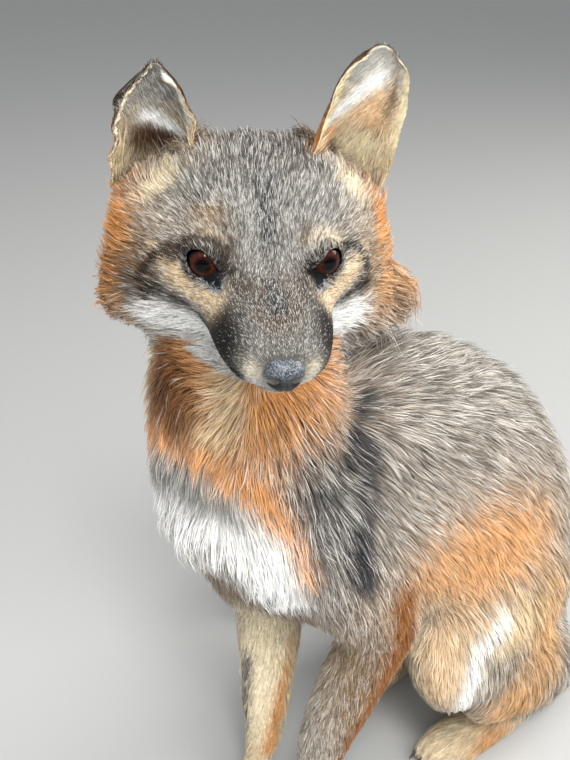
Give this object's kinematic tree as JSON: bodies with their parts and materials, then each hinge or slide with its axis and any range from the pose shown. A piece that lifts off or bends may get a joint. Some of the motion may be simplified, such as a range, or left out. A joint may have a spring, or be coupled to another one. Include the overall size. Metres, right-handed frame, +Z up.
{
  "type": "taxidermy gray fox",
  "caption": "Life-size mounted gray fox sitting upright with its head turned to its left, grizzled grey, rust and white coat.",
  "frame": {"origin": "centre of the flat under the rump, on the floor", "axes": "+Z up from the floor, -Y the way the fox's body faces, +X the fox's left side"},
  "size_m": [0.2825, 0.377, 0.4411],
  "materials": {
    "coat_grizzle": "matte",
    "coat_rust": "matte",
    "coat_pale": "matte",
    "coat_black": "matte",
    "nose_leather": "satin",
    "eye_glass": "gloss"
  },
  "bodies": {
    "root": {"head": "coat_grizzle", "jaw": "coat_pale", "nose_pad": "nose_leather", "eye_left": "eye_glass", "eye_right": "eye_glass", "ear_left": "coat_rust", "ear_right": "coat_rust", "neck": "coat_rust", "trunk": "coat_grizzle", "upper_arm_left": "coat_grizzle", "upper_arm_right": "coat_rust", "forearm_left": "coat_grizzle", "forearm_right": "coat_rust", "forepaw_left": "coat_rust", "forepaw_right": "coat_rust", "thigh_left": "coat_rust", "thigh_right": "coat_rust", "shank_left": "coat_grizzle", "shank_right": "coat_grizzle", "hindfoot_left": "coat_rust", "hindfoot_right": "coat_rust", "tail_base": "coat_grizzle", "tail_mid": "coat_grizzle", "tail_tip": "coat_black"}
  },
  "joints": []
}
